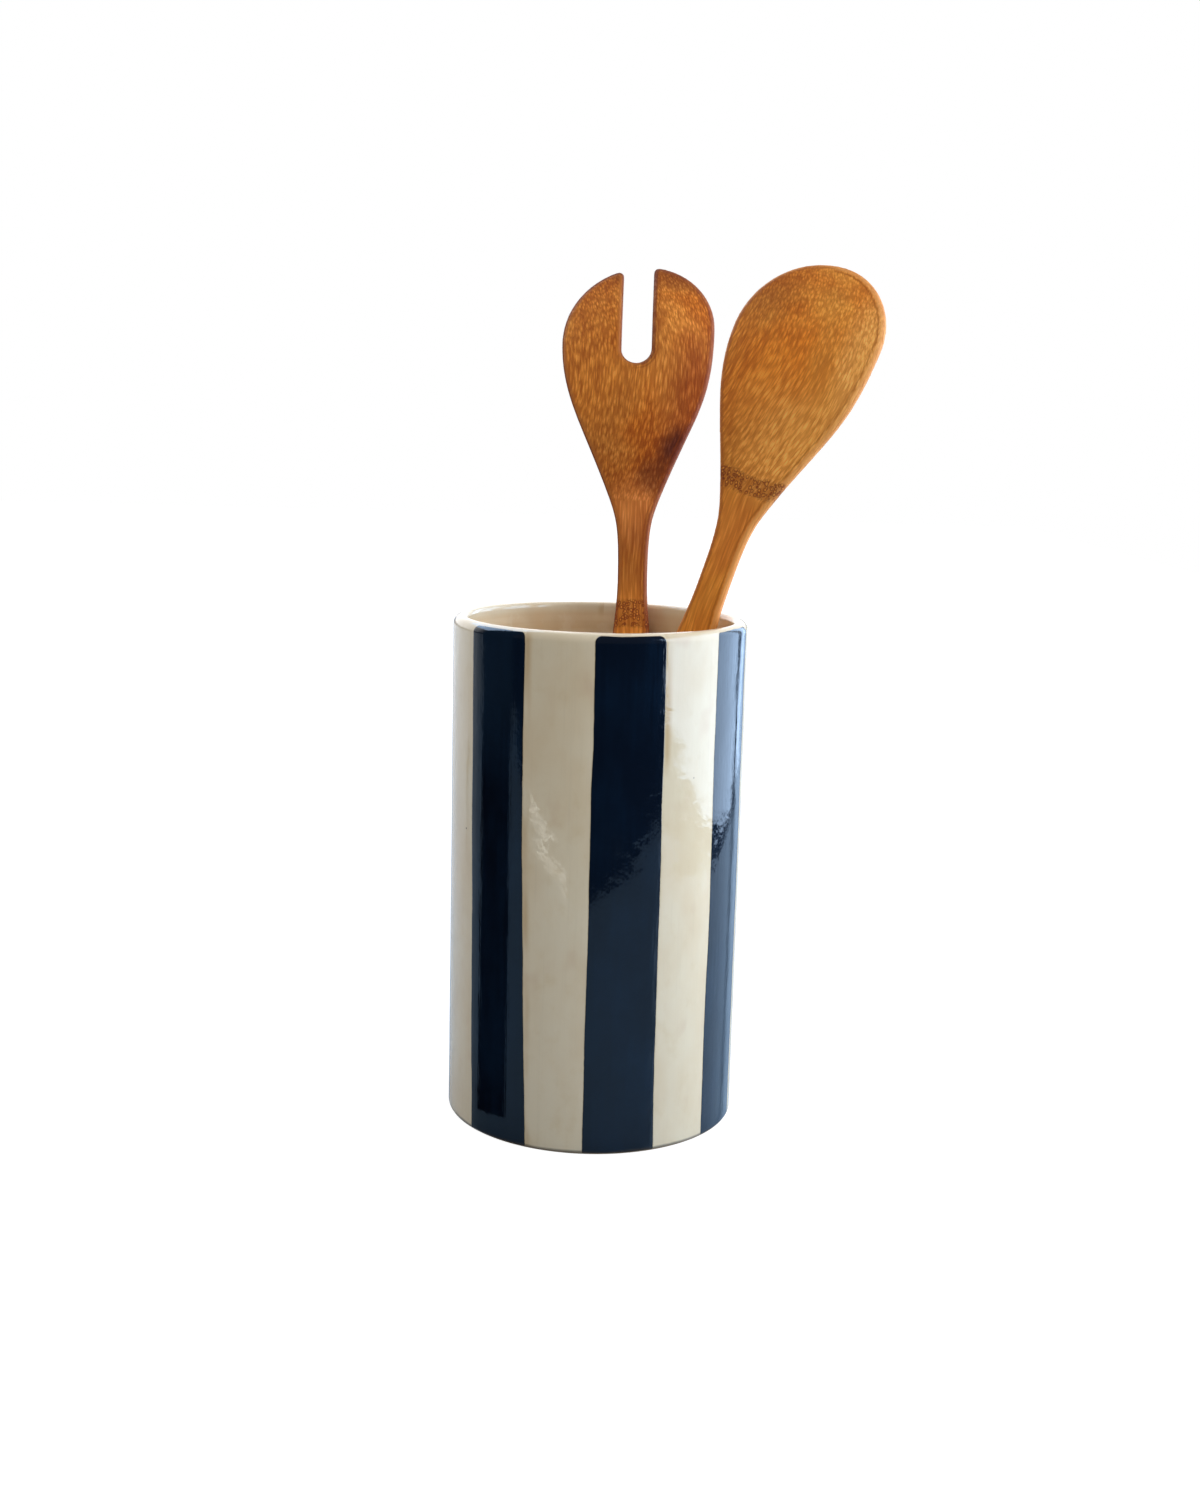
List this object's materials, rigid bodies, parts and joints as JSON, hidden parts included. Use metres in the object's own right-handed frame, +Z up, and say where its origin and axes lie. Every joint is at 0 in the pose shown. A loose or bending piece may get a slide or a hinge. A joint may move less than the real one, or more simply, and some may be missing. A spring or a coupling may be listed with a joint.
{
  "type": "utensil crock",
  "caption": "Tall straight-sided stoneware crock with a rounded lip that holds a slotted bamboo serving fork and a bamboo serving spoon.",
  "frame": {"origin": "middle of the crock's foot ring, on the plane that it stands on", "axes": "+Z up the crock; the side that the picture shows looks along -Y; +X to the right, where the spoon leans"},
  "size_m": [0.1582, 0.1381, 0.3225],
  "materials": {
    "stoneware_glaze": "glossy glaze, upright navy and cream stripes",
    "bamboo": "satin, lightly oiled"
  },
  "bodies": {
    "crock": {"crock": "stoneware_glaze"},
    "serving_fork": {"serving_fork": "bamboo"},
    "serving_spoon": {"serving_spoon": "bamboo"}
  },
  "joints": [
    {"name": "fork_lift_out", "type": "slide", "parent": "crock", "child": "serving_fork", "axis": [-0.0032, 0.18, 0.9837], "range_m": [0, 0.2]},
    {"name": "spoon_lift_out", "type": "slide", "parent": "crock", "child": "serving_spoon", "axis": [0.3083, 0.0307, 0.9508], "range_m": [0, 0.206]}
  ]
}
